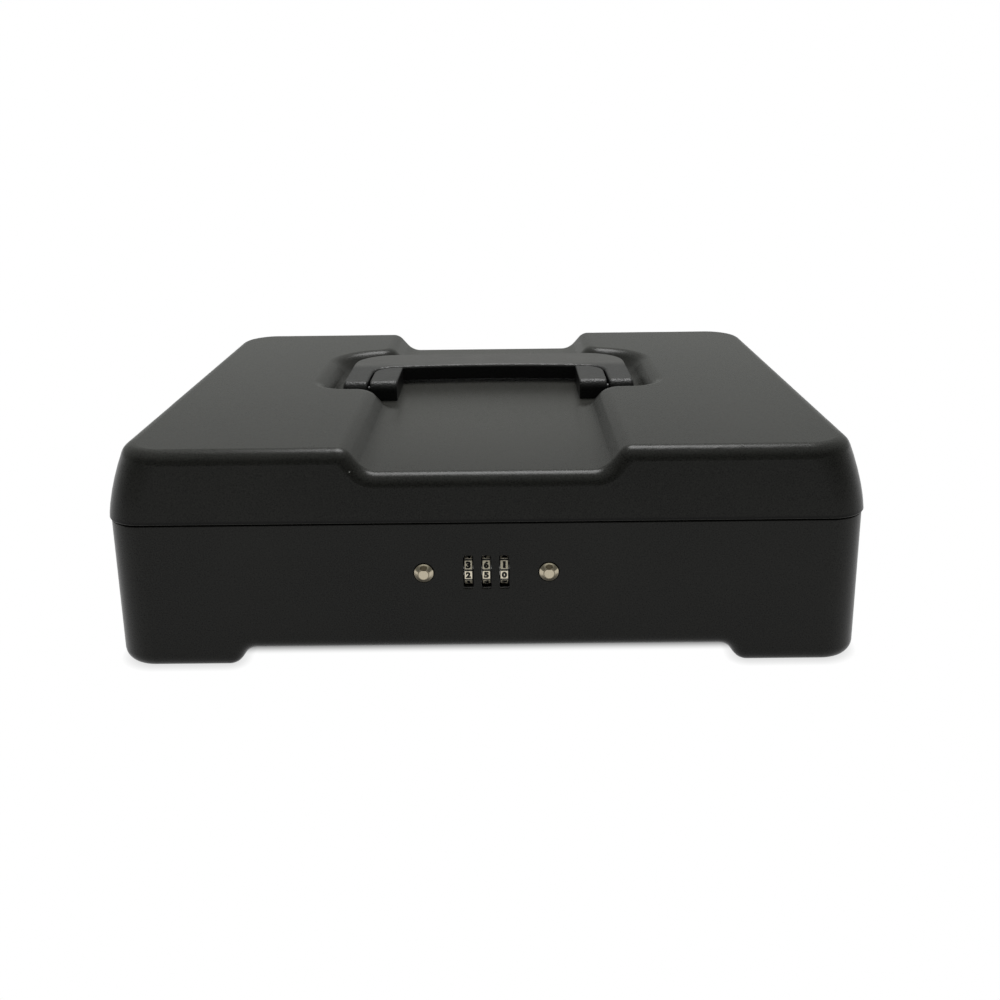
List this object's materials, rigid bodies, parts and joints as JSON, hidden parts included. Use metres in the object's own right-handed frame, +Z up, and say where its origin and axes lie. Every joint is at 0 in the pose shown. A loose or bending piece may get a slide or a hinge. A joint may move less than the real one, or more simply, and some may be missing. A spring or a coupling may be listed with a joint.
{
  "type": "cash box",
  "caption": "Steel cash box with a hinged lid, a fold-flat carrying handle, a combination lock with number dials and push buttons, and a lift-out coin tray.",
  "frame": {"origin": "on the surface the box stands on, under the middle of its base", "axes": "+X to the right and +Y to the back as seen from the lock side, +Z up"},
  "size_m": [0.3, 0.2455, 0.09],
  "materials": {
    "charcoal_coat": "fine-textured charcoal powder coat",
    "handle_plastic": "textured black moulding",
    "tray_plastic": "fine matt black moulding",
    "dial_metal": "satin nickel flats",
    "button_chrome": "polished, lightly worn",
    "hinge_black": "satin black paint",
    "plated_steel": "bright zinc plate",
    "spring_steel": "bare spring steel",
    "cast_zinc": "bare zinc casting"
  },
  "bodies": {
    "base": {"base_pan": "charcoal_coat", "hinge_base_leaf_left": "hinge_black", "hinge_base_leaf_right": "hinge_black", "hinge_pin_left": "plated_steel", "hinge_pin_right": "plated_steel", "hinge_base_rivets": "hinge_black", "lock_case": "cast_zinc", "lock_cover": "plated_steel", "cover_screws": "plated_steel", "case_studs": "plated_steel", "case_nuts": "plated_steel", "dial_detent": "spring_steel", "lock_spring": "spring_steel", "tray_rest_left": "charcoal_coat", "tray_rest_right": "charcoal_coat"},
    "lid": {"lid_shell": "charcoal_coat", "handle_lug_left": "handle_plastic", "handle_lug_right": "handle_plastic", "handle_pin_left": "hinge_black", "handle_pin_right": "hinge_black", "lug_screws": "plated_steel", "hinge_lid_leaf_left": "hinge_black", "hinge_lid_leaf_right": "hinge_black", "hinge_lid_rivets": "hinge_black", "catch_tongue_left": "charcoal_coat", "catch_tongue_right": "charcoal_coat"},
    "handle": {"handle": "handle_plastic"},
    "dial_left": {"dial_left": "dial_metal"},
    "dial_middle": {"dial_middle": "dial_metal"},
    "dial_right": {"dial_right": "dial_metal"},
    "lock_bar": {"lock_bar": "plated_steel", "lock_spindle": "plated_steel"},
    "button_left": {"button_left": "button_chrome", "button_pin_left": "plated_steel"},
    "button_right": {"button_right": "button_chrome", "button_pin_right": "plated_steel"},
    "coin_tray": {"coin_tray": "tray_plastic"}
  },
  "joints": [
    {"name": "lid_hinge", "type": "hinge", "parent": "base", "child": "lid", "pos_m": [0, 0.1222, 0.0615], "axis": [-1, 0, 0], "range_deg": [0, 105]},
    {"name": "handle_fold", "type": "hinge", "parent": "lid", "child": "handle", "pos_m": [0, -0.001, 0.08535], "axis": [1, 0, 0], "range_deg": [0, 95]},
    {"name": "dial_left_turn", "type": "hinge", "parent": "base", "child": "dial_left", "pos_m": [0, -0.1134, 0.0405], "axis": [1, 0, 0], "continuous": true},
    {"name": "dial_middle_turn", "type": "hinge", "parent": "base", "child": "dial_middle", "pos_m": [0, -0.1134, 0.0405], "axis": [1, 0, 0], "continuous": true},
    {"name": "dial_right_turn", "type": "hinge", "parent": "base", "child": "dial_right", "pos_m": [0, -0.1134, 0.0405], "axis": [1, 0, 0], "continuous": true},
    {"name": "lock_bar_slide", "type": "slide", "parent": "base", "child": "lock_bar", "axis": [1, 0, 0], "range_m": [0, 0.0032], "stiffness_N_per_m": 500, "springref_m": -0.002, "deforming": ["lock_spring"]},
    {"name": "button_left_press", "type": "slide", "parent": "base", "child": "button_left", "axis": [0, 1, 0], "range_m": [0, 0.0032]},
    {"name": "button_right_press", "type": "slide", "parent": "base", "child": "button_right", "axis": [0, 1, 0], "range_m": [0, 0.0032]},
    {"name": "tray_lift", "type": "slide", "parent": "base", "child": "coin_tray", "axis": [0, 0, 1], "range_m": [0, 0.015]}
  ],
  "couplings": [
    {"joint": "button_left_press", "follows": "lock_bar_slide", "ratio": 1},
    {"joint": "button_right_press", "follows": "lock_bar_slide", "ratio": 1}
  ]
}
